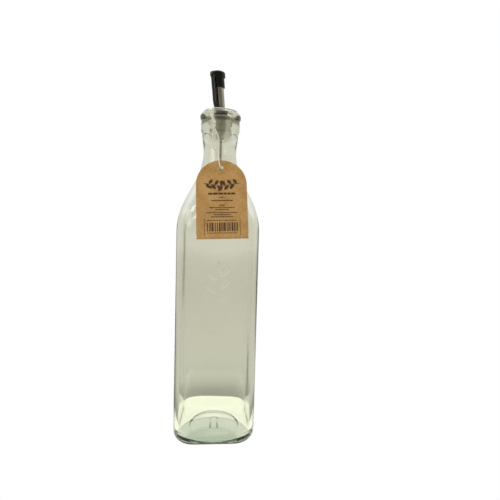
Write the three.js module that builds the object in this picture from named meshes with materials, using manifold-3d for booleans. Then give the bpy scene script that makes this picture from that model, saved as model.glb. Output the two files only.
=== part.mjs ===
// Square kitchen bottle for oil or vinegar, with a steel pourer in its neck and a card tag on a string.
// Millimetres, +Z up. The origin is the centre of the base, on the surface it stands on. Front is -Y.
import * as THREE from 'three';
import { mergeVertices } from 'three/addons/utils/BufferGeometryUtils.js';
import Module from 'manifold-3d';

const wasm = await Module();
wasm.setup();

// ---- driving dimensions -------------------------------------------------------------------------
const GAP = 0.3; // clearance between pieces that touch

const FACE_HALF = 30; // half the width of the square body
const WALL = 3; // glass thickness of the body
const HEEL = 8.5; // rounding between body and base
const CORNER_CENTRE = 15; // corner arcs turn about (15, 15) on the body
const ROUND_UP_TO = 15; // sections this wide or narrower are round
const ROUND_FOOT = 15; // below this height sections are round up to FLOOR_ROUND
const FLOOR_ROUND = 20;
const GLASS_HEIGHT = 244; // from the base to the mouth
const BODY_TOP = 155.5; // the straight sides end and the shoulder starts
const NECK_BASE = 214; // the shoulder ends and the neck starts
const NECK = 12.3; // outer radius of the neck
const BORE = 9.25; // inner radius of the neck
const BEAD = 15.3; // radius of the rounded bead at the mouth
const COLLAR = 14.5; // radius of the collar under the bead
const BEAD_DEPTH = 3.3; // the bead is half an oval this deep
const BEAD_RISE = 3.7; // and this far from its widest point to the mouth
const BEAD_START = -0.9; // angle where the bead meets the collar, in radians
const FOOT_INNER = 19; // inner radius of the flat ring that the bottle stands on
const PUSH_UP = 3.2; // rise of the underside at its centre
const FLOOR = 7; // top of the glass floor at its centre
const FLOOR_EDGE = 3.6; // and where it meets the rounding of the walls
const INNER_HEEL = 7; // rounding between walls and floor inside

// The pourer and the tag are measured from the mouth: heights below it are negative.
const STOPPER_FOOT = -19.5;
const STOPPER_TOP = -3;
const STOPPER_FLANGE = -7; // the widest fin runs from here to the top
const STOPPER_CORE = 7.9; // radius between the fins
const FIN = BORE - GAP; // radius of the sealing fins
const FIN_LEVELS = [-17, -13.7, -10.4]; // undersides of the fins
const SEAT = -13; // ledge that the steel tube stands on

const TUBE_BASE = 3.6; // outer radius of the steel tube at the mouth of the bottle
const TUBE_TIP = 3.4; // and at its tip
const TUBE_WALL = 0.5;
const TUBE_TOP = 27.6;
const LEAN = 0.085; // sideways lean of the tube above the stopper, per millimetre of rise
const LEAN_EASE = 2; // height over which the lean sets in

const VENT_RADIUS = 0.9;
const VENT_BORE = 0.45;
const VENT_AT = [0.5, 1.5]; // x and y of the air tube
const VENT_FOOT = -73;
const VENT_TOP = 22;

const RING_OUTER = 5.3;
const RING_TOP = -0.7;
const STRAP_WIDTH = 3.6;
const STRAP_THICK = 1.3;
const CAP_RADIUS = 4.3;
const FLANGE = 4.9; // radius of the cap's wider rim
const LOBE = 1.9; // radius of the lobe that the strap grows from
const LOBE_AT = [-4.3, -3.2];
const CAP_RIM = 18.5;
const CAP_TOP = 31;
const FLANGE_UNDER = 26;

const TAG_WIDTH = 35.8;
const TAG_LENGTH = 57.5;
const TAG_THICK = 0.5;
const TAG_HOLE = 1.8; // radius of the punched hole
const HOLE_DROP = 5.9; // centre of the hole below the top of the arch
const TAG_SLOPE = 17.9; // degrees that the tag leans out at its foot, along the shoulder
const TAG_SKEW = 2.3; // degrees that it hangs askew
const HOLE_AT = [1.1, -18.8, -43]; // centre of the hole at the back of the card

const STRING = 0.9; // diameter of the cotton string
const KNOT_AT = [-4.3, -17.2, -13];
const KNOT_HALF = [1.25, 1.2, 1.45];

// ---- materials ----------------------------------------------------------------------------------
const finish = (color, roughness, metalness = 0) =>
  new THREE.MeshStandardMaterial({ color, roughness, metalness });
const glass = finish('#c9cdb8', 0.05);
const naturalPlastic = finish('#cdc9b6', 0.4);
const steel = finish('#a9a59b', 0.2, 1);
const blackRubber = finish('#0d100c', 0.35);
const kraftCard = finish('#b08a55', 0.9);
const cottonString = finish('#d9cdb4', 0.95);

// ---- helpers ------------------------------------------------------------------------------------
const unit = (value) => Math.min(1, Math.max(0, value));

// A profile of radius and height, turned about Z. It runs up the outside and down the inside.
function turned(profile, segments) {
  const geometry = new THREE.LatheGeometry(profile, segments);
  geometry.rotateX(Math.PI / 2);
  return geometry;
}

function closedProfile(pairs) {
  const points = pairs.map(([radius, height]) => new THREE.Vector2(radius, height));
  points.push(points[0].clone());
  return points;
}

// Moves every vertex of a geometry to where place(x, y, z) says.
function reshape(geometry, place) {
  const position = geometry.attributes.position;
  for (let i = 0; i < position.count; i += 1) {
    position.setXYZ(i, ...place(position.getX(i), position.getY(i), position.getZ(i)));
  }
  geometry.computeVertexNormals();
  return geometry;
}

// The steel tube and all that sits on it lean gently to the left above the stopper.
function leaned(geometry) {
  return reshape(geometry, (x, y, z) => {
    const rise = Math.max(0, z - STOPPER_TOP);
    return [x - (LEAN * rise * rise) / (rise + LEAN_EASE), y, z];
  });
}

function named(name, geometry, material) {
  const mesh = new THREE.Mesh(geometry, material);
  mesh.name = name;
  return mesh;
}

function toSolid(geometry) {
  const bare = geometry.clone();
  bare.deleteAttribute('normal');
  bare.deleteAttribute('uv');
  const merged = mergeVertices(bare, 1e-4);
  return new wasm.Manifold(
    new wasm.Mesh({
      numProp: 3,
      vertProperties: new Float32Array(merged.attributes.position.array),
      triVerts: new Uint32Array(merged.index.array),
    }),
  );
}

function fromSolid(solid) {
  const mesh = solid.getMesh();
  const geometry = new THREE.BufferGeometry();
  geometry.setAttribute('position', new THREE.BufferAttribute(new Float32Array(mesh.vertProperties), 3));
  geometry.setIndex(new THREE.BufferAttribute(new Uint32Array(mesh.triVerts), 1));
  geometry.computeVertexNormals();
  return geometry;
}

// ---- glass --------------------------------------------------------------------------------------
// Turns a round section into a square one with rounded corners. The radius of the round section
// becomes the half width, and the corner arcs turn about a centre that moves out as it widens.
function squared(x, y, z) {
  const half = Math.hypot(x, y);
  const round = z < ROUND_FOOT ? FLOOR_ROUND : ROUND_UP_TO;
  const spread = unit((half - round) / (FACE_HALF - WALL - round));
  const centre = z > NECK_BASE ? 0 : CORNER_CENTRE * spread;
  if (centre === 0) {
    return [x, y, z];
  }
  const corner = half - centre;
  const along = Math.max(Math.abs(x), Math.abs(y)) / half;
  const across = Math.min(Math.abs(x), Math.abs(y)) / half;
  const onFlat = across * half <= centre * along;
  const sum = centre * (along + across);
  const reach = onFlat ? half / along : sum + Math.sqrt(sum * sum - 2 * centre * centre + corner * corner);
  return [(x / half) * reach, (y / half) * reach, z];
}

// The glass in section: up the outside from the underside's centre, over the lip and down the inside.
function glassProfile() {
  const inside = FACE_HALF - WALL;
  const at = (radius, height) => new THREE.Vector2(radius, height);
  const arc = (radius, height, size, start, end, steps) => {
    const curve = new THREE.EllipseCurve(radius, height, size, size, start, end, end < start, 0);
    return curve.getPoints(steps);
  };
  const underside = new THREE.QuadraticBezierCurve(at(0, PUSH_UP), at(14, PUSH_UP), at(FOOT_INNER, 0));
  const shoulder = new THREE.CubicBezierCurve(
    at(FACE_HALF, BODY_TOP),
    at(FACE_HALF, BODY_TOP + 23),
    at(NECK, NECK_BASE - 21.5),
    at(NECK, NECK_BASE),
  );
  const insideShoulder = new THREE.CubicBezierCurve(
    at(BORE, NECK_BASE - 2),
    at(BORE, NECK_BASE - 22),
    at(inside, BODY_TOP + 21),
    at(inside, BODY_TOP),
  );
  const bead = new THREE.EllipseCurve(
    BEAD - BEAD_DEPTH,
    GLASS_HEIGHT - BEAD_RISE,
    BEAD_DEPTH,
    BEAD_RISE,
    BEAD_START,
    Math.PI / 2,
    false,
    0,
  );
  const rounding = inside - INNER_HEEL;
  const floor = new THREE.QuadraticBezierCurve(at(rounding, FLOOR_EDGE), at(12, FLOOR), at(0, FLOOR));
  return [
    ...underside.getPoints(4),
    ...arc(FACE_HALF - HEEL, HEEL, HEEL, -Math.PI / 2, 0, 5),
    ...shoulder.getPoints(10),
    at(NECK + 0.3, GLASS_HEIGHT - 24.5),
    at(NECK + 1.1, GLASS_HEIGHT - 19.5),
    at(COLLAR - 0.8, GLASS_HEIGHT - 16),
    at(COLLAR, GLASS_HEIGHT - 14),
    at(COLLAR, GLASS_HEIGHT - 7.6),
    ...bead.getPoints(8),
    at(BORE + 0.7, GLASS_HEIGHT),
    at(BORE, GLASS_HEIGHT - 0.7),
    ...insideShoulder.getPoints(9),
    ...arc(rounding, FLOOR_EDGE + INNER_HEEL, INNER_HEEL, 0, -Math.PI / 2, 4),
    ...floor.getPoints(3).slice(1),
  ];
}

function glassBottle() {
  return named('glass_bottle', reshape(turned(glassProfile(), 40), squared), glass);
}

// ---- pourer -------------------------------------------------------------------------------------
function pourerStopper() {
  const pairs = [[STOPPER_CORE - 1.3, STOPPER_FOOT], [STOPPER_CORE, STOPPER_FOOT + 1.5]];
  for (const level of FIN_LEVELS) {
    pairs.push([STOPPER_CORE, level], [FIN, level + 0.5], [FIN, level + 1], [STOPPER_CORE, level + 1.5]);
  }
  pairs.push([STOPPER_CORE, STOPPER_FLANGE], [FIN, STOPPER_FLANGE + 0.6], [FIN, STOPPER_TOP]);
  const sleeve = TUBE_BASE + GAP;
  const passage = sleeve - 1;
  pairs.push([sleeve, STOPPER_TOP], [sleeve, SEAT], [passage, SEAT], [passage, STOPPER_FOOT]);
  return named('pourer_stopper', turned(closedProfile(pairs), 24), naturalPlastic);
}

// Outer radius of the steel tube: straight in the stopper, tapering above it.
function tubeRadius(height) {
  return TUBE_BASE + (TUBE_TIP - TUBE_BASE) * unit((height - STOPPER_TOP) / (TUBE_TOP - STOPPER_TOP));
}

function spoutTube() {
  const levels = [SEAT + GAP, STOPPER_TOP, 0, 5, 12, 20, TUBE_TOP];
  const outside = levels.map((level) => [tubeRadius(level), level]);
  const inside = levels.map((level) => [tubeRadius(level) - TUBE_WALL, level]).reverse();
  return named('spout_tube', leaned(turned(closedProfile([...outside, ...inside]), 20)), steel);
}

function airTube() {
  const levels = [VENT_FOOT, STOPPER_TOP, 0, 5, 12, VENT_TOP];
  const outside = levels.map((level) => [VENT_RADIUS, level]);
  const inside = levels.map((level) => [VENT_BORE, level]).reverse();
  const geometry = turned(closedProfile([...outside, ...inside]), 10);
  geometry.translate(VENT_AT[0], VENT_AT[1], 0);
  return named('air_tube', leaned(geometry), steel);
}

function tetherRing() {
  const inner = TUBE_BASE + GAP + 0.1;
  const foot = STOPPER_TOP + GAP;
  const pairs = [[inner, foot], [RING_OUTER - 0.4, foot], [RING_OUTER, foot + 0.4]];
  pairs.push([RING_OUTER, RING_TOP - 0.4], [RING_OUTER - 0.4, RING_TOP], [inner, RING_TOP]);
  return named('tether_ring', leaned(turned(closedProfile(pairs), 24)), blackRubber);
}

// A flat strap whose broad side faces away from the tube. It climbs from the ring to the cap's rim.
function tetherStrap() {
  const route = new THREE.CatmullRomCurve3([
    new THREE.Vector3(-2.6, -4.6, RING_TOP + GAP),
    new THREE.Vector3(-2.9, -4.6, 3),
    new THREE.Vector3(-3.5, -4.5, 6),
    new THREE.Vector3(-3.8, -4.35, 12),
    new THREE.Vector3(-4, -4.2, 19),
    new THREE.Vector3(-4.1, -4.05, FLANGE_UNDER - GAP),
  ]);
  const steps = 10;
  const vertices = [];
  const faces = [];
  for (let i = 0; i <= steps; i += 1) {
    const point = route.getPoint(i / steps);
    const outward = new THREE.Vector3(point.x, point.y, 0).normalize();
    const sideways = new THREE.Vector3(-outward.y, outward.x, 0);
    for (const [side, out] of [[-1, -1], [1, -1], [1, 1], [-1, 1]]) {
      const corner = point.clone();
      corner.addScaledVector(sideways, (side * STRAP_WIDTH) / 2);
      corner.addScaledVector(outward, (out * STRAP_THICK) / 2);
      vertices.push(corner.x, corner.y, corner.z);
    }
  }
  for (let i = 0; i < steps; i += 1) {
    for (let k = 0; k < 4; k += 1) {
      const a = 4 * i + k;
      const b = 4 * i + ((k + 1) % 4);
      faces.push(a, a + 4, b, b, a + 4, b + 4);
    }
  }
  const last = 4 * steps;
  faces.push(0, 1, 2, 0, 2, 3, last, last + 2, last + 1, last, last + 3, last + 2);
  const geometry = new THREE.BufferGeometry();
  geometry.setAttribute('position', new THREE.Float32BufferAttribute(vertices, 3));
  geometry.setIndex(faces);
  return named('tether_strap', leaned(geometry), blackRubber);
}

function dustCap() {
  const roof = TUBE_TOP + GAP;
  const inner = TUBE_TIP + GAP;
  const shell = [[0, roof], [inner, roof], [inner + 0.1, CAP_RIM], [CAP_RADIUS + 0.1, CAP_RIM]];
  shell.push([CAP_RADIUS, FLANGE_UNDER - 0.5], [FLANGE, FLANGE_UNDER], [FLANGE, FLANGE_UNDER + 2]);
  shell.push([FLANGE - 0.8, CAP_TOP - 1.6], [FLANGE / 2, CAP_TOP - 0.4], [0, CAP_TOP]);
  const profile = shell.map(([radius, height]) => new THREE.Vector2(radius, height));
  const body = turned(profile, 24);
  const lobe = new THREE.CylinderGeometry(LOBE - 0.3, LOBE, 2, 16);
  lobe.rotateX(Math.PI / 2);
  lobe.translate(...LOBE_AT, FLANGE_UNDER + 1);
  const joined = fromSolid(toSolid(body).add(toSolid(lobe)));
  return named('dust_cap', leaned(joined), blackRubber);
}

// ---- tag and string -----------------------------------------------------------------------------
function swingTag() {
  const half = TAG_WIDTH / 2;
  const foot = HOLE_DROP - TAG_LENGTH;
  const outline = new THREE.Shape();
  outline.moveTo(-half, foot);
  outline.lineTo(half, foot);
  outline.lineTo(half, HOLE_DROP - half);
  outline.absarc(0, HOLE_DROP - half, half, 0, Math.PI, false);
  outline.closePath();
  const hole = new THREE.Path();
  hole.absarc(0, 0, TAG_HOLE, 0, 2 * Math.PI, true);
  outline.holes.push(hole);
  const geometry = new THREE.ExtrudeGeometry(outline, {
    depth: TAG_THICK,
    bevelEnabled: false,
    curveSegments: 16,
  });
  geometry.rotateX(Math.PI / 2);
  const tag = named('swing_tag', geometry, kraftCard);
  tag.rotation.set(THREE.MathUtils.degToRad(-TAG_SLOPE), THREE.MathUtils.degToRad(-TAG_SKEW), 0, 'XYZ');
  tag.position.set(...HOLE_AT);
  return tag;
}

// Once round the mouth on top of the lip, with both ends over the bead at the front left.
const LOOP_ROUTE = [
  [-4.8, -16.8, -11],
  [-5.6, -16.4, -9],
  [-6.6, -15.6, -6.2],
  [-7.6, -14.7, -3.7],
  [-8.2, -13.1, -1.1],
  [-8.4, -10.9, 0.4],
  [-9.4, -7.9, 0.85],
  [-11.2, -4.2, 0.8],
  [-11.8, 1.8, 0.8],
  [-9.2, 7.6, 0.8],
  [-4.1, 11.2, 0.8],
  [2.2, 11.7, 0.8],
  [8, 8.8, 0.8],
  [11.4, 3.5, 0.8],
  [11.6, -2.7, 0.8],
  [8.8, -7.9, 0.8],
  [4, -11.2, 0.8],
  [-0.8, -12, 0.8],
  [-4.2, -12.2, 0.7],
  [-6.1, -13.1, -0.1],
  [-6.7, -14.4, -2],
  [-6.2, -15.2, -4.5],
  [-5.2, -15.9, -7],
  [-4.3, -16.4, -9.2],
  [-3.7, -16.9, -11],
];

// Down from the knot, through the hole of the tag from the front, and back up behind the card.
const DROP_ROUTE = [
  [-3.9, -17.2, -15],
  [-2.3, -17.2, -18.3],
  [-1.2, -17.3, -22.4],
  [-0.9, -17.4, -27.2],
  [-0.9, -17.7, -32],
  [-0.7, -18.7, -36.8],
  [-0.1, -20, -40.2],
  [0.6, -20.6, -42.3],
  [1.1, -19.9, -43.2],
  [1.1, -18.4, -43.2],
  [0.9, -17, -42.4],
  [0.6, -16.3, -39.8],
  [0, -15.9, -36.4],
  [-1.4, -15.8, -33.4],
  [-3.4, -15.7, -30.6],
  [-5, -15.6, -26.8],
  [-5.5, -16, -22],
  [-5.1, -16.7, -18],
  [-4.9, -17.1, -15],
];

function stringAlong(name, points, steps) {
  const route = new THREE.CatmullRomCurve3(points.map((point) => new THREE.Vector3(...point)));
  const section = new THREE.Shape();
  section.absarc(0, 0, STRING / 2, 0, 2 * Math.PI, false);
  const geometry = new THREE.ExtrudeGeometry(section, { extrudePath: route, steps, curveSegments: 4 });
  return named(name, geometry, cottonString);
}

function stringKnot() {
  const geometry = new THREE.SphereGeometry(1, 12, 8);
  geometry.scale(...KNOT_HALF);
  const knot = named('tag_string_knot', geometry, cottonString);
  knot.position.set(...KNOT_AT);
  return knot;
}

// ---- assembly -----------------------------------------------------------------------------------
const pourer = new THREE.Group();
pourer.add(pourerStopper(), spoutTube(), airTube(), tetherRing(), tetherStrap(), dustCap());
pourer.position.z = GLASS_HEIGHT;

const label = new THREE.Group();
label.add(swingTag(), stringKnot());
label.add(stringAlong('tag_string_loop', LOOP_ROUTE, 46));
label.add(stringAlong('tag_string_drop', DROP_ROUTE, 30));
label.position.z = GLASS_HEIGHT;

const group = new THREE.Group();
group.add(glassBottle(), pourer, label);

export default group;
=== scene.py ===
"""Square kitchen bottle for oil or vinegar: pressed glass, a steel pourer with a rubber dust cap, and a
kraft card tag on a cotton string. Lengths are in millimetres until a mesh is made, in metres."""
import math

import bmesh
import bpy
import numpy as np
from mathutils import Matrix, Vector


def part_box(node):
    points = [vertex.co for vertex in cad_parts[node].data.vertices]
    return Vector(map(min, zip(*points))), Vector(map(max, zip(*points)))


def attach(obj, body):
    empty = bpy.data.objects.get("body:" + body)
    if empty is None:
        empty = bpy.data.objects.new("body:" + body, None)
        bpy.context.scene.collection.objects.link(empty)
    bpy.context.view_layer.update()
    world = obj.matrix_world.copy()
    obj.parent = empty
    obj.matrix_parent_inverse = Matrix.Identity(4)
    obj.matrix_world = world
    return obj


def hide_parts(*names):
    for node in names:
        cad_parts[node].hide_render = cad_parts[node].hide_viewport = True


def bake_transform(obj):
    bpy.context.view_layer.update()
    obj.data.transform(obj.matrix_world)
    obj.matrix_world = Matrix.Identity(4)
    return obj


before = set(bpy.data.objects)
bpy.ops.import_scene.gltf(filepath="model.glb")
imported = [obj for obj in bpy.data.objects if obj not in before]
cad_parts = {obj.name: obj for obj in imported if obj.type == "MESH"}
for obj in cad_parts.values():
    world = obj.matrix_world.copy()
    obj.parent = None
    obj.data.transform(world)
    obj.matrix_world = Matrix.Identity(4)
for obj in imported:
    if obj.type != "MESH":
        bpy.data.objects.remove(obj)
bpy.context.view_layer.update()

MM = 0.001

# ---- driving dimensions: the glass's box from model.glb, the rest given -------------------------
# driving dimensions, from the frame
GLASS_BOX = [[part / MM for part in corner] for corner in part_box("glass_bottle")]
FACE_HALF = GLASS_BOX[1][0]
MOUTH = GLASS_BOX[1][2]
WALL = 3.0
INSIDE_HALF = FACE_HALF - WALL
HEEL = 8.5  # radius between the faces and the foot
FOOT_INNER = 19.0  # inner edge of the flat ring that the bottle stands on
PUSH_UP = 3.2  # how far the underside is hollowed
FLOOR = 7.0
FLOOR_EDGE = 3.6
INNER_HEEL = 7.0
CORNER_CENTRE = 15.0  # how far out, in x and in y, the body's corner arcs are centred
ROUND_UP_TO = 15.0  # a section with this half width or less is round
ROUND_FOOT = 15.0  # below this height a section is round up to FLOOR_ROUND
FLOOR_ROUND = 20.0
BODY_TOP = 155.5
NECK_BASE = 214.0
NECK = 12.3
BORE = 9.25
COLLAR = 14.5
BEAD = 15.3
BEAD_DEPTH = 3.3
BEAD_RISE = 3.7
BEAD_START = -52  # degrees, where the bead's oval grows out of the collar
BEAD_SHADE_BAND = (6.5, 1.5)  # how far below the mouth, and the half width, of the shade painted on the glass under the bead
COLLAR_SHADE_BAND = (15.2, 0.8)  # the same painted shade, at the foot of the collar
SPRIG_FOOT = 77.0
SPRIG_TOP = 136.0
SPRIG_REACH = 16.0
SPRIG_RISE = 0.6
MARK_RISE = 0.4  # height of the mould mark in the middle of the underside
MARK_HALF = 2.6

# Heights of the pourer, the string and the tag are above the mouth, so they are negative below it.
STOPPER_TOP = -3.0
STOPPER_FOOT = -19.5
FIN = BORE - 0.3
CORE = 7.9
SEAT = -13.0
FIN_LEVELS = (-17, -13.7, -10.4)
TUBE_BASE = 3.6
TUBE_TIP = 3.4
TUBE_WALL = 0.5
TUBE_TOP = 27.6
AIR_FOOT = -73
AIR_TOP = 22
AIR_BESIDE = (0.5, 1.5, 0)  # how far the air tube stands off the axis
LEAN = 0.085
LEAN_EASE = 2.0
RING_TOP = -0.7
RING_OUTER = 5.3
STRAP_HALF_WIDTH = 1.8
STRAP_HALF_THICK = 0.65
CAP_RADIUS = 4.3
CAP_RIM = 18.5
CAP_TOP = 31.0
FLANGE = 5.2
FLANGE_UNDER = 26.0
LOBE = 2.2
LOBE_AT = (-4.3, -3.2)  # the direction in which the cap's rim grows out to the strap

TAG_WIDTH = 35.8
TAG_LENGTH = 57.5
TAG_THICK = 0.5
TAG_HOLE = 1.8
TAG_CURL = 0.5  # how far the card's sides bend back from its middle
INK_THICK = 0.02
HOLE_DROP = 5.9
TAG_SLOPE = math.radians(17.9)
TAG_SKEW = math.radians(2.3)
HOLE_AT = (1.1, -18.8, -43.0)

STRING = 0.9
KNOT_AT = (-4.3, -17.2, -13.0)

PAINTED_SHADE_ATTRIBUTE = "painted_neck_shade"  # mesh attribute, 1 where the shade painted under the bead is darkest


# ---- nodes and materials ------------------------------------------------------------------------
def linear(code):
    """sRGB hex to linear RGBA."""
    parts = [int(code[i : i + 2], 16) / 255 for i in (1, 3, 5)]
    return tuple(p / 12.92 if p <= 0.04045 else ((p + 0.055) / 1.055) ** 2.4 for p in parts) + (1.0,)


def connect(node, links):
    """Sets a node's inputs, by name or number, to a value, a socket or another node's first output."""
    for name, value in links.items():
        if isinstance(value, bpy.types.Node):
            value = value.outputs[0]
        if isinstance(value, bpy.types.NodeSocket):
            node.id_data.links.new(value, node.inputs[name])
        else:
            node.inputs[name].default_value = value


def add(tree, kind, links=None, stops=(), **settings):
    """Adds a node with its links and settings. stops are the places and hex colours of a colour ramp."""
    node = tree.nodes.new(kind)
    for name, value in settings.items():
        setattr(node, name, value)
    for place, _ in stops[2:]:
        node.color_ramp.elements.new(place)
    if stops:
        for element, (place, code) in zip(node.color_ramp.elements, stops):
            element.position = place
            element.color = linear(code)
    connect(node, links or {})
    return node


def start_material(name, **values):
    """A material with one Principled shader: its node tree, shader, Object coordinates and output."""
    material = bpy.data.materials.new(name)
    material.use_nodes = True
    tree = material.node_tree
    tree.nodes.clear()
    inputs = {key.replace("_", " "): value for key, value in values.items()}
    shader = add(tree, "ShaderNodeBsdfPrincipled", inputs)
    out = add(tree, "ShaderNodeOutputMaterial", {"Surface": shader})
    where = add(tree, "ShaderNodeTexCoord").outputs["Object"]
    return material, tree, shader, where, out


def per(size):
    """The Scale of a noise whose features are about size millimetres across."""
    return 1 / (size * MM)


def pressed_soda_lime_glass():
    """Grey-green soda-lime glass, machine pressed: a fire-polished gloss with long soft ripples about
    14 mm wide. Its base colour goes to olive in painted shade under the bead and at the collar's foot."""
    values = dict(Roughness=0.035, IOR=1.52, Transmission_Weight=1.0)
    material, tree, shader, where, out = start_material("pressed_soda_lime_glass", **values)
    neck_shade = add(tree, "ShaderNodeAttribute", attribute_name=PAINTED_SHADE_ATTRIBUTE).outputs["Fac"]
    # painted shade: the base colour goes olive where the attribute marks shade under the bead and collar
    tint = add(tree, "ShaderNodeValToRGB", {"Fac": neck_shade}, [(0.0, "#FAFAF6"), (1.0, "#66644A")])
    drawn = add(tree, "ShaderNodeMapping", {"Vector": where, "Scale": (1, 1, 0.35)})
    ripples = add(tree, "ShaderNodeTexNoise", {"Vector": drawn, "Scale": per(14), "Detail": 1.0})
    bump = add(tree, "ShaderNodeBump", {"Height": ripples, "Distance": 0.05 * MM, "Strength": 1.0})
    connect(shader, {"Base Color": tint, "Normal": bump})
    body = add(tree, "ShaderNodeVolumeAbsorption", {"Color": linear("#CDD6C0"), "Density": 30.0})
    connect(out, {"Volume": body})
    return material


def natural_polyethylene():
    """Undyed moulded polyethylene: milky, lets light in, with a satin skin. Its IOR is set below the
    real 1.5, because the stopper turned dark inside the neck with that."""
    values = dict(Roughness=0.22, IOR=1.12, Transmission_Weight=0.75)
    material, tree, shader, where, _ = start_material("natural_polyethylene", **values)
    cloud = add(tree, "ShaderNodeTexNoise", {"Vector": where, "Scale": per(3), "Detail": 2.0})
    milk = add(tree, "ShaderNodeValToRGB", {"Fac": cloud}, [(0.3, "#F4F2E8"), (0.7, "#FBF9F1")])
    skin = add(tree, "ShaderNodeTexNoise", {"Vector": where, "Scale": per(0.6), "Detail": 2.0})
    bump = add(tree, "ShaderNodeBump", {"Height": skin, "Distance": 0.02 * MM, "Strength": 1.0})
    connect(shader, {"Base Color": milk, "Normal": bump})
    return material


def drawn_stainless_steel():
    """Polished stainless steel tube: bright, with faint lines along the draw. The lines are about 0.5 mm
    wide, coarser than real ones, so that they show."""
    material, tree, shader, where, _ = start_material("drawn_stainless_steel", Metallic=1.0)
    drawn = add(tree, "ShaderNodeMapping", {"Vector": where, "Scale": (1, 1, 0.06)})
    lines = add(tree, "ShaderNodeTexNoise", {"Vector": drawn, "Scale": per(0.5), "Detail": 3.0})
    tone = add(tree, "ShaderNodeValToRGB", {"Fac": lines}, [(0.3, "#9A978C"), (0.7, "#B1AEA4")])
    haze = add(tree, "ShaderNodeMapRange", {"Value": lines, "To Min": 0.14, "To Max": 0.26})
    connect(shader, {"Base Color": tone, "Roughness": haze})
    return material


def moulded_black_rubber():
    """Moulded black rubber: near black, with a half-gloss skin that shows dull handling marks."""
    values = dict(IOR=1.5, Specular_IOR_Level=0.35)
    material, tree, shader, where, _ = start_material("moulded_black_rubber", **values)
    marks = add(tree, "ShaderNodeTexNoise", {"Vector": where, "Scale": per(2.5), "Detail": 4.0})
    tone = add(tree, "ShaderNodeValToRGB", {"Fac": marks}, [(0.35, "#020301"), (0.7, "#070905")])
    haze = add(tree, "ShaderNodeMapRange", {"Value": marks, "To Min": 0.13, "To Max": 0.22})
    skin = add(tree, "ShaderNodeTexNoise", {"Vector": where, "Scale": per(0.35), "Detail": 2.0})
    bump = add(tree, "ShaderNodeBump", {"Height": skin, "Distance": 0.004 * MM, "Strength": 1.0})
    connect(shader, {"Base Color": tone, "Roughness": haze, "Normal": bump})
    return material


def kraft_card():
    """Uncoated kraft card: warm brown with short darker and lighter fibres, and no gloss. The fibres are
    0.9 mm, coarser than real ones, so that they show."""
    material, tree, shader, where, _ = start_material("kraft_card", Roughness=0.88, IOR=1.45)
    grain = add(tree, "ShaderNodeMapping", {"Vector": where, "Scale": (1, 1, 0.4)})
    fibres = add(tree, "ShaderNodeTexNoise", {"Vector": grain, "Scale": per(0.9), "Detail": 5.0})
    cloud = add(tree, "ShaderNodeTexNoise", {"Vector": where, "Scale": per(9), "Detail": 2.0})
    both = add(tree, "ShaderNodeMath", {0: fibres, 1: cloud}, operation="ADD")
    half = add(tree, "ShaderNodeMath", {0: both, 1: 0.5}, operation="MULTIPLY")
    stops = [(0.36, "#A87E48"), (0.5, "#B68C55"), (0.64, "#C39963")]
    brown = add(tree, "ShaderNodeValToRGB", {"Fac": half}, stops)
    bump = add(tree, "ShaderNodeBump", {"Height": fibres, "Distance": 0.05 * MM, "Strength": 1.0})
    connect(shader, {"Base Color": brown, "Normal": bump})
    return material


def brown_ink():
    """Dark brown offset print on kraft card: matt, broken a little by the fibres under it."""
    material, tree, shader, where, _ = start_material("brown_ink", Roughness=0.8)
    worn = add(tree, "ShaderNodeTexNoise", {"Vector": where, "Scale": per(0.7), "Detail": 3.0})
    tone = add(tree, "ShaderNodeValToRGB", {"Fac": worn}, [(0.35, "#3A2210"), (0.75, "#583818")])
    connect(shader, {"Base Color": tone})
    return material


def cotton_string():
    """Two-ply cotton string: off-white and matt, with fine fibre shadows and a faint fuzz."""
    material, tree, shader, where, _ = start_material("cotton_string", Roughness=0.95, Sheen_Weight=0.3)
    fibres = add(tree, "ShaderNodeTexNoise", {"Vector": where, "Scale": per(0.25), "Detail": 3.0})
    tone = add(tree, "ShaderNodeValToRGB", {"Fac": fibres}, [(0.3, "#D2CDBE"), (0.7, "#EFECE2")])
    bump = add(tree, "ShaderNodeBump", {"Height": fibres, "Distance": 0.04 * MM, "Strength": 1.0})
    connect(shader, {"Base Color": tone, "Normal": bump})
    return material


GLASS = pressed_soda_lime_glass()
PLASTIC = natural_polyethylene()
STEEL = drawn_stainless_steel()
RUBBER = moulded_black_rubber()
CARD = kraft_card()
INK = brown_ink()
COTTON = cotton_string()


# ---- mesh helpers -------------------------------------------------------------------------------
def make_piece(name, vertices, faces, material, sharp=None):
    """A mesh in metres from millimetre vertices, with doubles merged and smooth shading."""
    mesh = bpy.data.meshes.new(name)
    mesh.from_pydata((np.asarray(vertices) * MM).tolist(), [], faces)
    shape = bmesh.new()
    shape.from_mesh(mesh)
    bmesh.ops.remove_doubles(shape, verts=shape.verts, dist=1e-7)
    shape.to_mesh(mesh)
    shape.free()
    mesh.polygons.foreach_set("use_smooth", np.ones(len(mesh.polygons), bool))
    if sharp is not None:
        mesh.set_sharp_from_angle(angle=math.radians(sharp))
    mesh.materials.append(material)
    mesh.update()
    piece = bpy.data.objects.new(name, mesh)
    bpy.context.scene.collection.objects.link(piece)
    return piece


def grid_faces(rows, columns, close_rows=False, close_columns=True):
    """Quads of a grid whose columns run round a shape and whose rows run along it."""
    last_row = rows if close_rows else rows - 1
    last_column = columns if close_columns else columns - 1
    i, j = np.meshgrid(np.arange(last_row), np.arange(last_column), indexing="ij")
    up = (i + 1) % rows
    side = (j + 1) % columns
    quads = np.stack([i * columns + j, i * columns + side, up * columns + side, up * columns + j], -1)
    return quads.reshape(-1, 4).tolist()


def bezier(points, count):
    """A Bezier curve of three or four (radius, height) points."""
    t = np.linspace(0, 1, count)[:, None]
    p = [np.array(point, float) for point in points]
    if len(p) == 3:
        return (1 - t) ** 2 * p[0] + 2 * (1 - t) * t * p[1] + t * t * p[2]
    a, b, c, d = p
    return (1 - t) ** 3 * a + 3 * (1 - t) ** 2 * t * b + 3 * (1 - t) * t * t * c + t**3 * d


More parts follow.
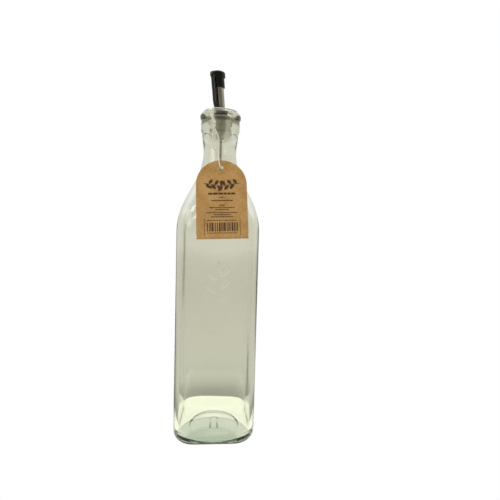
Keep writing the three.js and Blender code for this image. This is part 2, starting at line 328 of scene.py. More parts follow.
def arc(centre, radius, start, end, count):
    """Part of a circle in the (radius, height) plane, between two angles in degrees."""
    angle = np.radians(np.linspace(start, end, count))
    return np.stack([centre[0] + radius * np.cos(angle), centre[1] + radius * np.sin(angle)], -1)


def line(start, end, count):
    """Evenly spaced points from start to end."""
    t = np.linspace(0, 1, count)[:, None]
    return np.array(start, float) * (1 - t) + np.array(end, float) * t


def smooth_through(points, count):
    """A natural cubic spline through points, spaced by chord length."""
    p = np.array(points, float)
    knots = np.concatenate([[0], np.cumsum(np.linalg.norm(np.diff(p, axis=0), axis=1))])
    h = np.diff(knots)
    n = len(p)
    system = np.eye(n)
    right = np.zeros_like(p)
    inner = np.arange(1, n - 1)
    system[inner, inner - 1] = h[:-1]
    system[inner, inner] = 2 * (h[:-1] + h[1:])
    system[inner, inner + 1] = h[1:]
    slopes = np.diff(p, axis=0) / h[:, None]
    right[1:-1] = 6 * np.diff(slopes, axis=0)
    bend = np.linalg.solve(system, right)
    s = np.linspace(0, knots[-1], count)
    k = np.clip(np.searchsorted(knots, s, side="right") - 1, 0, n - 2)
    a = ((knots[k + 1] - s) / h[k])[:, None]
    b = ((s - knots[k]) / h[k])[:, None]
    curve = a * p[k] + b * p[k + 1]
    return curve + ((a**3 - a) * bend[k] + (b**3 - b) * bend[k + 1]) * (h[k] ** 2)[:, None] / 6


def eased(profile, radius, steps=3):
    """Rounds every inner corner of a profile with a small arc-like curve of about that radius."""
    p = np.array(profile, float)
    rounded = [p[:1]]
    for before, at, after in zip(p[:-2], p[1:-1], p[2:]):
        back = before - at
        on = after - at
        reach = min(radius, 0.45 * np.linalg.norm(back), 0.45 * np.linalg.norm(on))
        start = at + back / np.linalg.norm(back) * reach
        end = at + on / np.linalg.norm(on) * reach
        rounded.append(bezier([start, at, end], steps + 1))
    return np.concatenate(rounded + [p[-1:]])


def turned(profile, angles):
    """Turns a (radius, height) profile about Z: x = radius cos angle, y = radius sin angle."""
    radius = profile[:, 0][:, None]
    height = profile[:, 1][:, None] + 0 * angles
    return np.stack([radius * np.cos(angles), radius * np.sin(angles), height], -1)


def leaned(points):
    """Leans points above the stopper to the left, by a share of their rise that eases in from nothing,
    and lifts them to the mouth."""
    rise = np.maximum(points[..., 2] - STOPPER_TOP, 0)
    x = points[..., 0] - LEAN * rise * rise / (rise + LEAN_EASE)
    return np.stack([x, points[..., 1], points[..., 2] + MOUTH], -1)


def circle(count):
    """Angles once round, without the last."""
    return np.linspace(0, 2 * np.pi, count, endpoint=False)


# ---- camera -------------------------------------------------------------------------------------
CAMERA_AT = (0.0, -305.0, 174.3)
PITCH_DOWN = math.radians(3.58)
YAW_RIGHT = math.radians(4.60)
ROLL = math.radians(1.59)
LENS = 28.58
SHIFT_UP = -0.037


def make_camera():
    """A close, nearly level camera a little above the middle of the bottle, tilted slightly."""
    level = math.cos(PITCH_DOWN)
    forward = (math.sin(YAW_RIGHT) * level, math.cos(YAW_RIGHT) * level, -math.sin(PITCH_DOWN))
    forward = Vector(forward)
    right = forward.cross(Vector((0, 0, 1))).normalized()
    up = right.cross(forward)
    across = right * math.cos(ROLL) + up * math.sin(ROLL)
    upright = up * math.cos(ROLL) - right * math.sin(ROLL)
    data = bpy.data.cameras.new("camera")
    data.sensor_width = 36
    data.lens = LENS
    data.shift_y = SHIFT_UP
    data.clip_start = 0.01
    camera = bpy.data.objects.new("camera", data)
    turn = Matrix((across, upright, -forward)).transposed()
    camera.matrix_world = Matrix.Translation(Vector(CAMERA_AT) * MM) @ turn.to_4x4()
    bpy.context.scene.collection.objects.link(camera)
    bpy.context.scene.camera = camera


make_camera()

# ---- string -------------------------------------------------------------------------------------
LOOP_ROUTE = [
    (-4.8, -16.8, -11), (-5.6, -16.4, -9), (-6.6, -15.6, -6.2), (-7.6, -14.7, -3.7),
    (-8.2, -13.1, -1.1), (-8.4, -10.9, 0.4), (-9.4, -7.9, 0.85), (-11.2, -4.2, 0.8),
    (-11.8, 1.8, 0.8), (-9.2, 7.6, 0.8), (-4.1, 11.2, 0.8), (2.2, 11.7, 0.8), (8, 8.8, 0.8),
    (11.4, 3.5, 0.8), (11.6, -2.7, 0.8), (8.8, -7.9, 0.8), (4, -11.2, 0.8), (-0.8, -12, 0.8),
    (-4.2, -12.2, 0.7), (-6.1, -13.1, -0.1), (-6.7, -14.4, -2), (-6.2, -15.2, -4.5),
    (-5.2, -15.9, -7), (-4.3, -16.4, -9.2), (-3.7, -16.9, -11),
]
DROP_ROUTE = [
    (-3.9, -17.2, -15), (-2.3, -17.2, -18.3), (-1.2, -17.3, -22.4), (-0.9, -17.4, -27.2),
    (-0.9, -17.7, -32), (-0.7, -18.7, -36.8), (-0.1, -20, -40.2), (0.6, -20.6, -42.3),
    (1.1, -19.9, -43.2), (1.1, -18.4, -43.2), (0.9, -17, -42.4), (0.6, -16.3, -39.8),
    (0, -15.9, -36.4), (-1.4, -15.8, -33.4), (-3.4, -15.7, -30.6), (-5, -15.6, -26.8),
    (-5.5, -16, -22), (-5.1, -16.7, -18), (-4.9, -17.1, -15),
]
PLY_PITCH = 2.6  # one full turn of the two plies
STRING_SIDES = 12
STRING_STEP = 0.22


def frames_along(curve, closed, reference):
    """Unit tangents, and two unit vectors across them, one of them nearest the reference."""
    ahead = np.roll(curve, -1, 0) if closed else np.concatenate([curve[1:], curve[-1:]])
    behind = np.roll(curve, 1, 0) if closed else np.concatenate([curve[:1], curve[:-1]])
    tangent = ahead - behind
    tangent /= np.linalg.norm(tangent, axis=1)[:, None]
    first = reference - tangent * (reference * tangent).sum(1)[:, None]
    first /= np.linalg.norm(first, axis=1)[:, None]
    return tangent, first, np.cross(tangent, first)


def ply_section(curve, closed, reference, radius):
    """Two round plies twisted together: the radius swells twice round the section, turning along it."""
    _, first, second = frames_along(curve, closed, reference)
    along = np.arange(len(curve)) * STRING_STEP
    angles = circle(STRING_SIDES)[None]
    twist = 2 * np.pi * along[:, None] / PLY_PITCH
    swell = radius * (0.72 + 0.28 * np.abs(np.cos(angles - twist)))
    across = first[:, None] * (swell * np.cos(angles))[..., None]
    return curve[:, None] + across + second[:, None] * (swell * np.sin(angles))[..., None]


def string_piece(name, route, reference):
    """A twisted string along a route, closed at both ends."""
    points = np.array(route, float) + (0, 0, MOUTH)
    span = np.linalg.norm(np.diff(smooth_through(points, 400), axis=0), axis=1).sum()
    curve = smooth_through(points, int(span / STRING_STEP))
    rings = ply_section(curve, False, reference(curve), STRING / 2)
    rows = len(curve)
    vertices = rings.reshape(-1, 3)
    faces = grid_faces(rows, STRING_SIDES)
    faces.append(list(range(STRING_SIDES))[::-1])
    faces.append([(rows - 1) * STRING_SIDES + k for k in range(STRING_SIDES)])
    piece = make_piece(name, vertices, faces, COTTON)
    return piece, curve * MM, span * MM


def outwards(curve):
    """Directions away from the bottle's axis."""
    return curve * (1, 1, 0) / np.linalg.norm(curve[:, :2], axis=1)[:, None]


def sideways(curve):
    """The X direction, for every point."""
    return np.zeros_like(curve) + (1, 0, 0)


def overhand_knot():
    """A trefoil: x = sin t + 2 sin 2t, z = cos t - 2 cos 2t, y = -sin 3t, scaled to a tight knot."""
    t = np.linspace(0, 2 * np.pi, 84, endpoint=False)
    x = (np.sin(t) + 2 * np.sin(2 * t)) * 0.3
    z = (np.cos(t) - 2 * np.cos(2 * t)) * 0.36
    y = -np.sin(3 * t) * 0.5
    curve = np.stack([x, y, z], -1)
    rings = ply_section(curve, True, np.roll(curve, 9, 0) + (0, 1, 0), STRING * 0.46)
    vertices = rings.reshape(-1, 3) + KNOT_AT + np.array([0, 0, MOUTH])
    return make_piece("string_knot", vertices, grid_faces(len(curve), STRING_SIDES, True), COTTON)


loop, loop_path, loop_length = string_piece("string_round_mouth", LOOP_ROUTE, outwards)
drop, drop_path, drop_length = string_piece("string_to_tag", DROP_ROUTE, sideways)
knot = overhand_knot()
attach(loop, "bottle")
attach(knot, "bottle")
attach(drop, "tag")
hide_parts("tag_string_loop")
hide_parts("tag_string_knot")
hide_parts("tag_string_drop")


# ---- glass --------------------------------------------------------------------------------------
def squared(points):
    """Turns a round section into a square one with rounded corners, as wide as the circle was.
    The corner arcs turn about a centre that moves out from the axis as the section widens."""
    x, y, z = points[..., 0], points[..., 1], points[..., 2]
    half = np.maximum(np.hypot(x, y), 1e-9)
    round_up_to = np.where(z < ROUND_FOOT, FLOOR_ROUND, ROUND_UP_TO)
    squareness = np.clip((half - round_up_to) / (INSIDE_HALF - round_up_to), 0, 1)
    centre = np.where(z > NECK_BASE, 0, CORNER_CENTRE * squareness)
    along = np.maximum(abs(x), abs(y)) / half
    across = np.minimum(abs(x), abs(y)) / half
    corner = half - centre
    total = centre * (along + across)
    root = np.sqrt(np.maximum(total**2 - 2 * centre**2 + corner**2, 0))
    reach = np.where(across * half <= centre * along, half / along, total + root)
    reach = np.where(centre == 0, half, reach)
    return np.stack([x / half * reach, y / half * reach, z], -1)


def outside_profile():
    """The outside in section, from the centre of the underside up to the lip."""
    shoulder = [(FACE_HALF, BODY_TOP), (FACE_HALF, BODY_TOP + 23)]
    shoulder += [(NECK, NECK_BASE - 21.5), (NECK, NECK_BASE)]
    flare = [(NECK, NECK_BASE + 2), (NECK + 0.3, MOUTH - 24.5), (NECK + 1.1, MOUTH - 19.5)]
    flare.append((COLLAR - 1, MOUTH - 16.4))
    collar = [(COLLAR - 0.8, MOUTH - 16), (COLLAR, MOUTH - 14)]
    collar += [(COLLAR, MOUTH - 8), (COLLAR - 0.2, MOUTH - 7)]
    angle = np.radians(np.linspace(BEAD_START, 90, 22))
    across = BEAD - BEAD_DEPTH + BEAD_DEPTH * np.cos(angle)
    up = MOUTH - BEAD_RISE + BEAD_RISE * np.sin(angle)
    parts = [
        bezier([(0, PUSH_UP), (14, PUSH_UP), (FOOT_INNER, 0)], 44),
        line((FOOT_INNER + 0.6, 0), (21.2, 0), 3),
        arc((FACE_HALF - HEEL, HEEL), HEEL, -90, 0, 16),
        line((FACE_HALF, 12), (FACE_HALF, SPRIG_FOOT - 2), 16),
        line((FACE_HALF, SPRIG_FOOT), (FACE_HALF, SPRIG_TOP), 124),
        line((FACE_HALF, SPRIG_TOP + 2), (FACE_HALF, BODY_TOP - 2), 6),
        bezier(shoulder, 34),
        smooth_through(flare, 12),
        eased(collar, 0.6, 4),
        np.stack([across, up], -1),
    ]
    return np.concatenate(parts)


def inside_profile():
    """The inside in section, from the lip down to the centre of the floor."""
    shoulder = [(BORE, NECK_BASE - 2), (BORE, NECK_BASE - 22)]
    shoulder += [(INSIDE_HALF, BODY_TOP + 21), (INSIDE_HALF, BODY_TOP)]
    floor_reach = INSIDE_HALF - INNER_HEEL
    parts = [
        arc((BORE + 0.9, MOUTH - 0.9), 0.9, 90, 180, 6),
        line((BORE, MOUTH - 2), (BORE, NECK_BASE), 8),
        bezier(shoulder, 34),
        line((INSIDE_HALF, BODY_TOP - 4), (INSIDE_HALF, 13), 22),
        arc((floor_reach, FLOOR_EDGE + INNER_HEEL), INNER_HEEL, 0, -90, 16),
        bezier([(floor_reach, FLOOR_EDGE), (12, FLOOR), (0, FLOOR)], 12)[1:],
    ]
    return np.concatenate(parts)


def leaf(x, z, at, turn, length, width):
    """A raised leaf: a pointed oval, pillowed across, with a groove along its middle."""
    u = (x - at[0]) * math.cos(turn) + (z - at[1]) * math.sin(turn)
    v = (z - at[1]) * math.cos(turn) - (x - at[0]) * math.sin(turn)
    taper = np.clip(1 - (2 * u / length) ** 2, 0, 1)
    half = np.maximum(width / 2 * taper, 1e-6)
    pillow = np.clip(1 - (v / half) ** 2, 0, 1) ** 0.6 * np.clip(taper * 3, 0, 1)
    return SPRIG_RISE * pillow * (1 - 0.6 * np.exp(-((v / 0.42) ** 2)))


def olive_sprig(x, z):
    """Height of a plain olive sprig pressed into the front face: a stem, paired leaves, three olives."""
    middle = (SPRIG_FOOT + SPRIG_TOP) / 2
    bend = 1.6 * np.sin((z - middle) / 18)
    on_stem = np.clip((z - SPRIG_FOOT) / 3, 0, 1) * np.clip((SPRIG_TOP - 8 - z) / 3, 0, 1)
    height = 0.4 * np.exp(-(((x - bend) / 0.8) ** 2)) * on_stem
    for k, rise in enumerate(np.linspace(SPRIG_FOOT + 10, SPRIG_TOP - 12, 5)):
        side = 1.6 * math.sin((rise - middle) / 18)
        size = 13.5 - 1.1 * k
        for hand in (-1, 1):
            turn = math.radians(90 - hand * 52)
            reach = size / 2 + 0.6
            at = (side + reach * math.cos(turn), rise + 1.5 * hand + reach * math.sin(turn))
            height = np.maximum(height, leaf(x, z, at, turn, size, 4.2))
    height = np.maximum(height, leaf(x, z, (0.6, SPRIG_TOP - 6), math.radians(84), 12, 3.8))
    for at in ((-3.4, middle - 19), (4.2, middle - 12), (-3.2, middle + 3)):
        near = ((x - at[0]) / 2) ** 2 + ((z - at[1]) / 2.6) ** 2
        height = np.maximum(height, SPRIG_RISE * np.sqrt(np.clip(1 - near, 0, 1)))
    return height


def column_angles():
    """Columns close together over the front face, and wider apart round the rest."""
    edge = math.atan(SPRIG_REACH / FACE_HALF)
    front = np.arctan(np.linspace(-SPRIG_REACH, SPRIG_REACH, 96) / FACE_HALF)
    rest = np.linspace(edge, 2 * np.pi - edge, 152)[1:-1]
    return np.concatenate([front, rest]) - np.pi / 2


def mould_mark(x, y):
    """Height of a plain arch moulded in the middle of the underside: two bars joined by a half circle."""
    off_line = abs(np.hypot(x, np.maximum(y - 2, 0)) - MARK_HALF)
    return MARK_RISE * np.exp(-((off_line / 0.45) ** 2)) * np.clip((y + 11) / 2, 0, 1)


def inner_waves(points):
    """How far the inner wall swells or shrinks, as in blown glass: products of long sines, at most
    0.32 mm, that fade out towards the foot and the shoulders."""
    x, y, z = points[..., 0], points[..., 1], points[..., 2]
    low, high = 22, NECK_BASE - 30
    wave = np.sin(x / 7 + 1.3) * np.cos(z / 19 + 0.4) + np.sin(y / 6 - 0.5) * np.cos(z / 27 + x / 15)
    return 0.16 * wave * np.clip((z - low) / 20, 0, 1) * np.clip((high - z) / 20, 0, 1)


def paint_neck_shade(piece):
    """Paints shade on the outside of the glass under the bead and at the foot of the collar, in soft
    rings.
    """
    place = np.zeros(3 * len(piece.data.vertices), np.float32)
    piece.data.vertices.foreach_get("co", place)
    x, y, z = place.reshape(-1, 3).T / MM
    # painted shade: a dark ring under the bead, and a fainter one at the foot of the collar
    under_bead = np.exp(-(((z - MOUTH + BEAD_SHADE_BAND[0]) / BEAD_SHADE_BAND[1]) ** 4))
    under_collar = 0.5 * np.exp(-(((z - MOUTH + COLLAR_SHADE_BAND[0]) / COLLAR_SHADE_BAND[1]) ** 2))
    painted_shade = np.where(np.hypot(x, y) > COLLAR - 1.2, under_bead + under_collar, 0)
    attribute = piece.data.attributes.new(PAINTED_SHADE_ATTRIBUTE, "FLOAT", "POINT")
    attribute.data.foreach_set("value", painted_shade.astype(np.float32))


def glass_piece():
    """The bottle as one closed wall: outside up, over the lip, inside down. The outside of the front
    face carries the sprig, the underside the mould mark, and the inside the waves of blown glass."""
    outside = outside_profile()
    inside = inside_profile()
    points = squared(turned(np.concatenate([outside, inside]), column_angles()[None]))
    x, y, z = points[..., 0], points[..., 1], points[..., 2]
    is_outside = (np.arange(len(points)) < len(outside))[:, None]
    front = is_outside & (y < -FACE_HALF + 0.6) & (z > SPRIG_FOOT - 1) & (z < SPRIG_TOP + 1)
    points[..., 1] -= np.where(front, olive_sprig(x, z), 0)
    underside = is_outside & (z < PUSH_UP + 0.1) & (np.hypot(x, y) < 14)
    points[..., 2] += np.where(underside, mould_mark(x, y), 0)
    push = np.where(is_outside, 0, inner_waves(points))
    far = np.maximum(np.hypot(x, y), 1e-6)
    points[..., 0] += push * x / far
    points[..., 1] += push * y / far
    rows, columns = points.shape[:2]
    piece = make_piece("bottle_glass", points.reshape(-1, 3), grid_faces(rows, columns), GLASS)
    paint_neck_shade(piece)
    return piece


glass = glass_piece()
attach(glass, "bottle")
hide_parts("glass_bottle")


# ---- pourer -------------------------------------------------------------------------------------
def closed_turning(name, profile, sides, material, place=leaned, sharp=None):
    """A ring-shaped solid from a closed profile that runs up the outside and down the inside."""
    points = place(turned(np.array(profile, float), circle(sides)[None]))
    rows, columns = points.shape[:2]
    return make_piece(name, points.reshape(-1, 3), grid_faces(rows, columns, True), material, sharp)


def stopper_piece():
    """A moulded stopper with three thin sealing fins under its thick top, and a socket for the tube."""
    pairs = [(CORE - 1.3, STOPPER_FOOT), (CORE, STOPPER_FOOT + 1.5)]
    for level in FIN_LEVELS:
        pairs += [(CORE, level), (FIN, level + 0.4), (FIN, level + 0.9), (CORE, level + 1.5)]
    pairs += [(CORE, -7), (FIN, -6.4), (FIN, STOPPER_TOP)]
    sleeve = TUBE_BASE + 0.3
    pairs += [(sleeve, STOPPER_TOP), (sleeve, SEAT), (sleeve - 1, SEAT), (sleeve - 1, STOPPER_FOOT)]
    profile = eased(pairs, 0.25, 3)
    return closed_turning("stopper_body", profile, 96, PLASTIC)


def steel_tube():
    """A thin tube, straight in the stopper and tapering evenly above it, with eased edges at the rim."""
    def outer(level):
        share = max(0, (level - STOPPER_TOP) / (TUBE_TOP - STOPPER_TOP))
        return TUBE_BASE + (TUBE_TIP - TUBE_BASE) * share

    levels = np.concatenate([[SEAT + 0.3], np.linspace(STOPPER_TOP, TUBE_TOP - 0.2, 16)])
    outside = [(outer(level), level) for level in levels]
    inside = [(outer(level) - TUBE_WALL, level) for level in levels[::-1]]
    rim = [(outer(TUBE_TOP) - TUBE_WALL * part, TUBE_TOP) for part in (0.3, 0.7)]
    return closed_turning("spout_steel_tube", outside + rim + inside, 72, STEEL, sharp=50)


def thin_air_tube():
    """The narrow air tube beside the axis, from under the cap far down into the bottle."""
    levels = np.concatenate([[AIR_FOOT, -60, -40, -20], np.linspace(STOPPER_TOP, AIR_TOP, 12)])
    outside = [(0.9, level) for level in levels]
    inside = [(0.45, level) for level in levels[::-1]]

    def place(points):
        return leaned(points + AIR_BESIDE)

    return closed_turning("air_steel_tube", outside + inside, 24, STEEL, place, sharp=50)


def rubber_ring():
    """The flat ring that holds the strap: a rectangle with rounded corners, turned about the tube."""
    inner = TUBE_BASE + 0.4
    foot = STOPPER_TOP + 0.3
    pairs = [(inner, foot), (RING_OUTER, foot), (RING_OUTER, RING_TOP), (inner, RING_TOP), (inner, foot)]
    return closed_turning("strap_ring", eased(pairs, 0.5, 4)[1:], 64, RUBBER)


STRAP_ROUTE = [
    (-2.6, -4.6, RING_TOP - 0.3), (-2.9, -4.6, 3), (-3.5, -4.5, 6), (-3.8, -4.35, 12), (-4, -4.2, 19),
    (-4.1, -4.05, FLANGE_UNDER + 0.4),
]


def rubber_strap():
    """A flat strap, 3.6 by 1.3 mm: a superellipse section along a smooth curve. It grows wider by a
    quarter over the last 15% of its length, where it meets the cap."""
    curve = smooth_through(STRAP_ROUTE, 60)
    outward = curve * (1, 1, 0) / np.linalg.norm(curve[:, :2], axis=1)[:, None]
    aside = np.stack([-outward[:, 1], outward[:, 0], 0 * outward[:, 0]], -1)
    angles = circle(28)
    squarish = 3.2
    wide = np.sign(np.cos(angles)) * np.abs(np.cos(angles)) ** (2 / squarish)
    thick = np.sign(np.sin(angles)) * np.abs(np.sin(angles)) ** (2 / squarish)
    grow = 1 + 0.25 * np.clip((np.linspace(0, 1, 60) - 0.85) / 0.15, 0, 1) ** 2
    points = curve[:, None] + aside[:, None] * (STRAP_HALF_WIDTH * grow[:, None] * wide)[..., None]
    points = leaned(points + outward[:, None] * (STRAP_HALF_THICK * thick)[:, None])
    rows, columns = points.shape[:2]
    faces = grid_faces(rows, columns)
    faces.append(list(range(columns))[::-1])
    faces.append([(rows - 1) * columns + k for k in range(columns)])
    faces = [face[::-1] for face in faces]
    return make_piece("cap_strap", points.reshape(-1, 3), faces, RUBBER)


def rubber_cap():
    """A thimble-shaped cap: a plain sleeve under a wider domed rim. The rim stretches outwards, by a bell
    curve of the angle, into a lobe where the strap grows out."""
    roof = TUBE_TOP + 0.3
    inner = TUBE_TIP + 0.3
    pairs = [(0, roof), (inner, roof), (inner + 0.1, CAP_RIM), (CAP_RADIUS + 0.1, CAP_RIM)]
    pairs += [(CAP_RADIUS, FLANGE_UNDER - 0.3), (FLANGE, FLANGE_UNDER), (FLANGE, FLANGE_UNDER + 2.6)]
    dome = [(FLANGE, FLANGE_UNDER + 3), (FLANGE - 0.2, CAP_TOP - 0.9)]
    dome += [(FLANGE / 2, CAP_TOP - 0.1), (0, CAP_TOP)]
    profile = np.concatenate([eased(pairs, 0.35, 5), bezier(dome, 16)])
    angles = circle(96)
    points = turned(profile, angles[None])
    toward = math.atan2(LOBE_AT[1], LOBE_AT[0])
    apart = (angles - toward + np.pi) % (2 * np.pi) - np.pi
    radius = np.hypot(points[..., 0], points[..., 1])
    z = points[..., 2]
    flange = np.clip((z - FLANGE_UNDER + 0.8) / 0.8, 0, 1) * np.clip((CAP_TOP - 0.6 - z) / 2, 0, 1)
    outer = np.clip((radius - CAP_RADIUS + 0.6) / 0.6, 0, 1)
    stretch = 1 + LOBE / FLANGE * np.exp(-((apart / 0.36) ** 2)) * flange * outer
    points = points * np.stack([stretch, stretch, 1 + 0 * stretch], -1)
    points = leaned(points)
    rows, columns = points.shape[:2]
    return make_piece("dust_cap_rubber", points.reshape(-1, 3), grid_faces(rows, columns), RUBBER)


stopper = stopper_piece()
tube = steel_tube()
air = thin_air_tube()
ring = rubber_ring()
strap = rubber_strap()
cap = rubber_cap()
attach(stopper, "stopper")
for piece in (tube, air, ring):
    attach(piece, "spout")
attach(cap, "cap")
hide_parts("pourer_stopper")
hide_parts("spout_tube")
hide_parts("air_tube")
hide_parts("tether_ring")
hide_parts("tether_strap")
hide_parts("dust_cap")
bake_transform(strap)


# ---- tag ----------------------------------------------------------------------------------------

def hung(flat):
    """Places (across, height from the hole, out of its face) on the hanging tag: bends the sides
    back a little, turns it about the hole, leans it out at the foot and moves it to its place."""
    across, height, out = flat[..., 0], flat[..., 1], flat[..., 2]
    out = out - TAG_CURL * (across / (TAG_WIDTH / 2)) ** 2 * np.clip(-height / 30, 0, 1)
    x, y, z = across, -out, height
    cos, sin = math.cos(TAG_SKEW), math.sin(TAG_SKEW)
    x, z = x * cos - z * sin, x * sin + z * cos
    cos, sin = math.cos(TAG_SLOPE), math.sin(TAG_SLOPE)
    y, z = y * cos + z * sin, -y * sin + z * cos
    return np.stack([x, y, z], -1) + HOLE_AT + np.array([0, 0, MOUTH])


def tag_outline(angles):
    """Distance from the hole to the edge of the tag in every direction: an arch over a rectangle."""
    half = TAG_WIDTH / 2
    spring = HOLE_DROP - half
    foot = HOLE_DROP - TAG_LENGTH
    c, s = np.cos(angles), np.sin(angles)
    side = half / np.maximum(np.abs(c), 1e-9)
    bottom = np.where(s < 0, foot / np.minimum(s, -1e-9), 1e9)
    b = -spring * s
    round_top = -b + np.sqrt(np.maximum(b * b - spring * spring + half * half, 0))
    over = side * s > spring
    return np.where(over, round_top, np.minimum(side, bottom))


def card_piece():
    """The card between its hole and its edge: rings from one to the other, on the front and the back,
    with the edges rounded off a little."""
    corners = [math.atan2(HOLE_DROP - TAG_LENGTH, hand * TAG_WIDTH / 2) for hand in (-1, 1)]
    angles = np.sort(np.concatenate([circle(160), corners]))
    edge = tag_outline(angles)
    steps = np.concatenate([[0, 0.02], np.linspace(0.08, 0.97, 14), [0.996, 1]])
    ease = np.where((steps == 0) | (steps == 1), 0.35, 1.0)
    half = TAG_THICK / 2
    reach = TAG_HOLE + (edge[None] - TAG_HOLE) * steps[:, None]
    sheet = [reach * np.cos(angles), reach * np.sin(angles)]
    front = np.stack(sheet + [(half * ease)[:, None] + half + 0 * reach], -1)
    back = np.stack(sheet + [(-half * ease)[:, None] + half + 0 * reach], -1)[::-1]
    points = np.concatenate([front, back])
    rows, columns = points.shape[:2]
    faces = grid_faces(rows, columns, True)
    return make_piece("kraft_tag_card", hung(points).reshape(-1, 3), faces, CARD, sharp=60)


def print_bars():
    """Generic marks printed on the tag, as (left, right, top, bottom) from the hole: bold heading
    dashes, rows of small dashes like lines of text, and a frame of upright bars."""
    chooser = np.random.default_rng(7)
    bars = []

    def dashes(level, left, right, size, short, long, gap):
        x = left
        while x < right:
            end = min(x + chooser.uniform(short, long), right)
            bars.append((x, end, level + size / 2, level - size / 2))
            x = end + gap

    dashes(-19.2, -9.4, 9.4, 1.5, 1.8, 3.6, 0.4)
    dashes(-21.9, -1.9, 1.9, 0.8, 1.0, 1.6, 0.35)
    dashes(-24.3, -7.2, 7.6, 0.85, 1.0, 2.2, 0.35)
    for level, left, right in ((-27.8, -1.9, 1.9), (-29.4, -8.6, 8.6), (-30.9, -4.6, 4.8)):
        dashes(level, left, right, 0.7, 0.9, 2.2, 0.3)
    for level, left, right in ((-33.1, -11, 11), (-34.6, -5.8, 6.2), (-36.1, -7.6, 7.8)):
        dashes(level, left, right, 0.65, 0.9, 2.4, 0.3)
    dashes(-38.7, -10.4, 10.2, 0.6, 1.0, 2.6, 0.4)
    x = -10.6
    while x < 10.4:
        wide = float(chooser.choice([0.5, 0.7, 1.15]))
        bars.append((x, min(x + wide, 10.6), -40.2, -46.4))
        x += wide + float(chooser.choice([0.35, 0.45, 0.75]))
    dashes(-47.6, -10.4, 10.4, 0.7, 0.5, 0.7, 0.5)
    bars += [(-12.4, 12.4, -37.4, -37.7), (-12.4, 12.4, -48.7, -49)]
    bars += [(-12.4, -12.1, -37.7, -48.7), (12.1, 12.4, -37.7, -48.7)]
    return bars


def ornament_outlines():
    """Outlines of a printed olive sprig above the heading: a waved stem, pointed leaves, round olives."""
    reach = 12.6

    def stem_level(x):
        return -12.6 - 0.9 * np.cos(x / 3.8)

    span = np.linspace(-reach, reach, 28)
    stem = np.stack([span, stem_level(span)], -1)
    outlines = [np.concatenate([stem + (0, 0.22), stem[::-1] - (0, 0.22)])]
    t = np.linspace(0, 1, 11)
    for k, x in enumerate(np.linspace(-reach + 1.6, reach - 1.6, 12)):
        hand = 1 if k % 2 else -1
        turn = math.radians(hand * 50 if x < 0 else 180 - hand * 50)
        length = 5.4 - 0.09 * abs(x)
        along = length * t
        across = 1.15 * np.sin(np.pi * t)
        edge = np.concatenate([np.stack([along, across], -1), np.stack([along, -across], -1)[::-1][1:-1]])
        c, s = math.cos(turn), math.sin(turn)
        spun = np.stack([edge[:, 0] * c - edge[:, 1] * s, edge[:, 0] * s + edge[:, 1] * c], -1)
        outlines.append(spun + (x, stem_level(x)))
    for x, drop in ((-7.6, 2.2), (-0.4, -2.6), (6.6, 2.3)):
        olive = [x + 0.95 * np.cos(circle(14)), stem_level(x) - drop + 1.15 * np.sin(circle(14))]
        outlines.append(np.stack(olive, -1))
    return outlines


def ink_piece():
    """All the print as one thin layer on the card's face: each mark is a flat prism."""
    outlines = [np.array([(l, b), (r, b), (r, t), (l, t)]) for l, r, t, b in print_bars()]
    outlines += ornament_outlines()
    vertices = []
    faces = []
    for outline in outlines:
        turn = np.cross(outline[1] - outline[0], outline[2] - outline[1])
        if turn < 0 and len(outline) == 4:
            outline = outline[::-1]
        n = len(outline)
        start = sum(len(v) for v in vertices)
        low = np.concatenate([outline, np.full((n, 1), TAG_THICK)], 1)
        high = np.concatenate([outline, np.full((n, 1), TAG_THICK + INK_THICK)], 1)
        vertices += [low, high]
        faces.append([start + n + k for k in range(n)])
        faces.append([start + k for k in range(n)][::-1])
        pairs = [(start + k, start + (k + 1) % n) for k in range(n)]
        faces += [[k, after, n + after, n + k] for k, after in pairs]
    piece = make_piece("tag_print", hung(np.concatenate(vertices)), faces, INK)
    shape = bmesh.new()
    shape.from_mesh(piece.data)
    bmesh.ops.recalc_face_normals(shape, faces=shape.faces)
    shape.to_mesh(piece.data)
    shape.free()
    piece.data.polygons.foreach_set("use_smooth", np.zeros(len(piece.data.polygons), bool))
    return piece


card = card_piece()
ink = ink_piece()
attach(card, "tag")
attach(ink, "tag")
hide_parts("swing_tag")


# ---- floor and light ----------------------------------------------------------------------------
WALL_TONE = "#DCDBCE"  # the studio walls, at the height of the horizon
FLOOR_RADII = (0, 300, 1200, 6000)
FLOOR_SPAN = 1300
PLATE_RADIUS = 54.0
PLATE_SPAN = 60
PLATE_GLOW = 1.25
SHADE_AT = (-1.3, -22)  # the middle of the plate's rings of tone, a shadow painted into its glow
# painted shadow round the plate: the floor's glow is darkest at its edge and lightens outwards
FLOOR_GLOW_AND_PAINTED_SHADOW = [
    (54, "#98998C"), (66, "#A6A598"), (82, "#C4C4B5"), (100, "#D0D0C1"), (160, "#D2D1C3"),
    (500, "#CCCABD"), (900, "#D0CEC1"), (1300, WALL_TONE),
]
# painted shadow under the bottle: grey-green in the middle, lighter further out, a darker ring near 33
# mm, then bright
PLATE_GLOW_AND_PAINTED_SHADOW = [
    (0, "#ABB7A4"), (18, "#ADB9A6"), (23, "#CBD2C2"), (31.5, "#CFD6C6"), (32.8, "#B9BEAC"),
    (34, "#F0F4DF"), (36, "#FCFFEC"), (60, "#F8FBE6"),
]


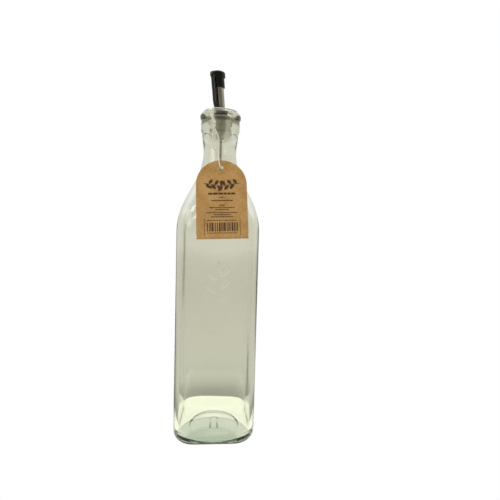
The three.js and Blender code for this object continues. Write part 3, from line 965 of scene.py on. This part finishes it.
def stage_white(name, middle, span, strength, stops):
    """A plain white surface to look at. The light that it gives the object is an even glow, whose colour
    goes by the distance from a middle point in millimetres: the stops run from there to the span."""
    material, tree, shader, where, out = start_material(name)
    centre = [part * MM for part in middle] + [0]
    apart = add(tree, "ShaderNodeVectorMath", {0: where, 1: centre}, operation="DISTANCE")
    share = add(tree, "ShaderNodeMapRange", {"Value": apart.outputs["Value"], "From Max": span * MM})
    shares = [(place / span, code) for place, code in stops]
    tone = add(tree, "ShaderNodeValToRGB", {"Fac": share}, shares)
    glow = add(tree, "ShaderNodeEmission", {"Color": tone, "Strength": strength})
    seen = add(tree, "ShaderNodeLightPath").outputs["Is Camera Ray"]
    white = add(tree, "ShaderNodeEmission", {"Color": (1, 1, 1, 1)})
    connect(out, {"Surface": add(tree, "ShaderNodeMixShader", {0: seen, 1: glow, 2: white})})
    tree.nodes.remove(shader)
    return material


def make_disc(name, radii, level, material):
    """A flat disc that isn't part of the object: rings of the given radii about Z."""
    angles = circle(128)
    reach = np.array(radii, float)[:, None]
    points = np.stack([reach * np.cos(angles), reach * np.sin(angles), level + 0 * reach * angles], -1)
    rows, columns = points.shape[:2]
    disc = make_piece(name, points.reshape(-1, 3), grid_faces(rows, columns), material)


def make_light(name, at, aim, size, power, tint):
    """A rectangular area light at a place in metres, aimed at a point."""
    data = bpy.data.lights.new(name, "AREA")
    data.shape = "RECTANGLE"
    data.size, data.size_y = size
    data.energy = power
    data.color = linear(tint)[:3]
    lamp = bpy.data.objects.new(name, data)
    lamp.location = at
    lamp.rotation_euler = (Vector(aim) - Vector(at)).to_track_quat("-Z", "Y").to_euler()
    bpy.context.scene.collection.objects.link(lamp)


def make_world():
    """A white background, and the light of a soft studio: white overhead and beige walls."""
    world = bpy.data.worlds.new("soft_studio")
    world.use_nodes = True
    bpy.context.scene.world = world
    tree = world.node_tree
    tree.nodes.clear()
    where = add(tree, "ShaderNodeTexCoord").outputs["Generated"]
    toward = add(tree, "ShaderNodeSeparateXYZ", {"Vector": where})
    stops = [(0.0, WALL_TONE), (0.3, "#DDDCD0"), (0.6, "#FFFFFF")]
    walls = add(tree, "ShaderNodeValToRGB", {"Fac": toward.outputs["Z"]}, stops)
    links = {"Value": toward.outputs["Y"], "From Min": -0.25, "From Max": -0.6}
    behind = add(tree, "ShaderNodeMapRange", links)
    links = {"Value": toward.outputs["Z"], "From Min": 0.75, "From Max": 0.45}
    below = add(tree, "ShaderNodeMapRange", links)
    dim = add(tree, "ShaderNodeMath", {0: behind, 1: below}, operation="MULTIPLY")
    mix = add(tree, "ShaderNodeMix", {"Factor": dim, 6: walls, 7: linear("#8F8C7F")}, data_type="RGBA")
    seen = add(tree, "ShaderNodeLightPath").outputs["Is Camera Ray"]
    studio = add(tree, "ShaderNodeBackground", {"Color": mix.outputs[2], "Strength": 1.0})
    plain = add(tree, "ShaderNodeBackground", {"Color": (1, 1, 1, 1), "Strength": 1.0})
    mixed = add(tree, "ShaderNodeMixShader", {0: seen, 1: studio, 2: plain})
    add(tree, "ShaderNodeOutputWorld", {"Surface": mixed})


floor_glow_painted_shadow = stage_white("pale_floor_glow_and_painted_shadow", (0, 0), FLOOR_SPAN, 1.0, FLOOR_GLOW_AND_PAINTED_SHADOW)
plate_glow_painted_shadow = stage_white("white_plate_glow_and_painted_shadow", SHADE_AT, PLATE_SPAN, PLATE_GLOW, PLATE_GLOW_AND_PAINTED_SHADOW)
make_disc("floor", FLOOR_RADII, -0.3, floor_glow_painted_shadow)
make_disc("white_plate", (0, 30, PLATE_RADIUS), -0.02, plate_glow_painted_shadow)
make_world()
make_light("key_softbox", (-0.55, -0.75, 0.95), (0, 0, 0.15), (0.35, 0.35), 2.5, "#FFFDF6")
make_light("left_strip", (-0.8, -0.57, 0.56), (0, 0, 0.25), (0.6, 0.5), 2.2, "#F2FFF6")
make_light("top_softbox", (0.1, 0.35, 1.2), (0, 0, 0.1), (0.8, 0.8), 2.5, "#FFFFFF")
bpy.context.scene.view_settings.view_transform = "Standard"
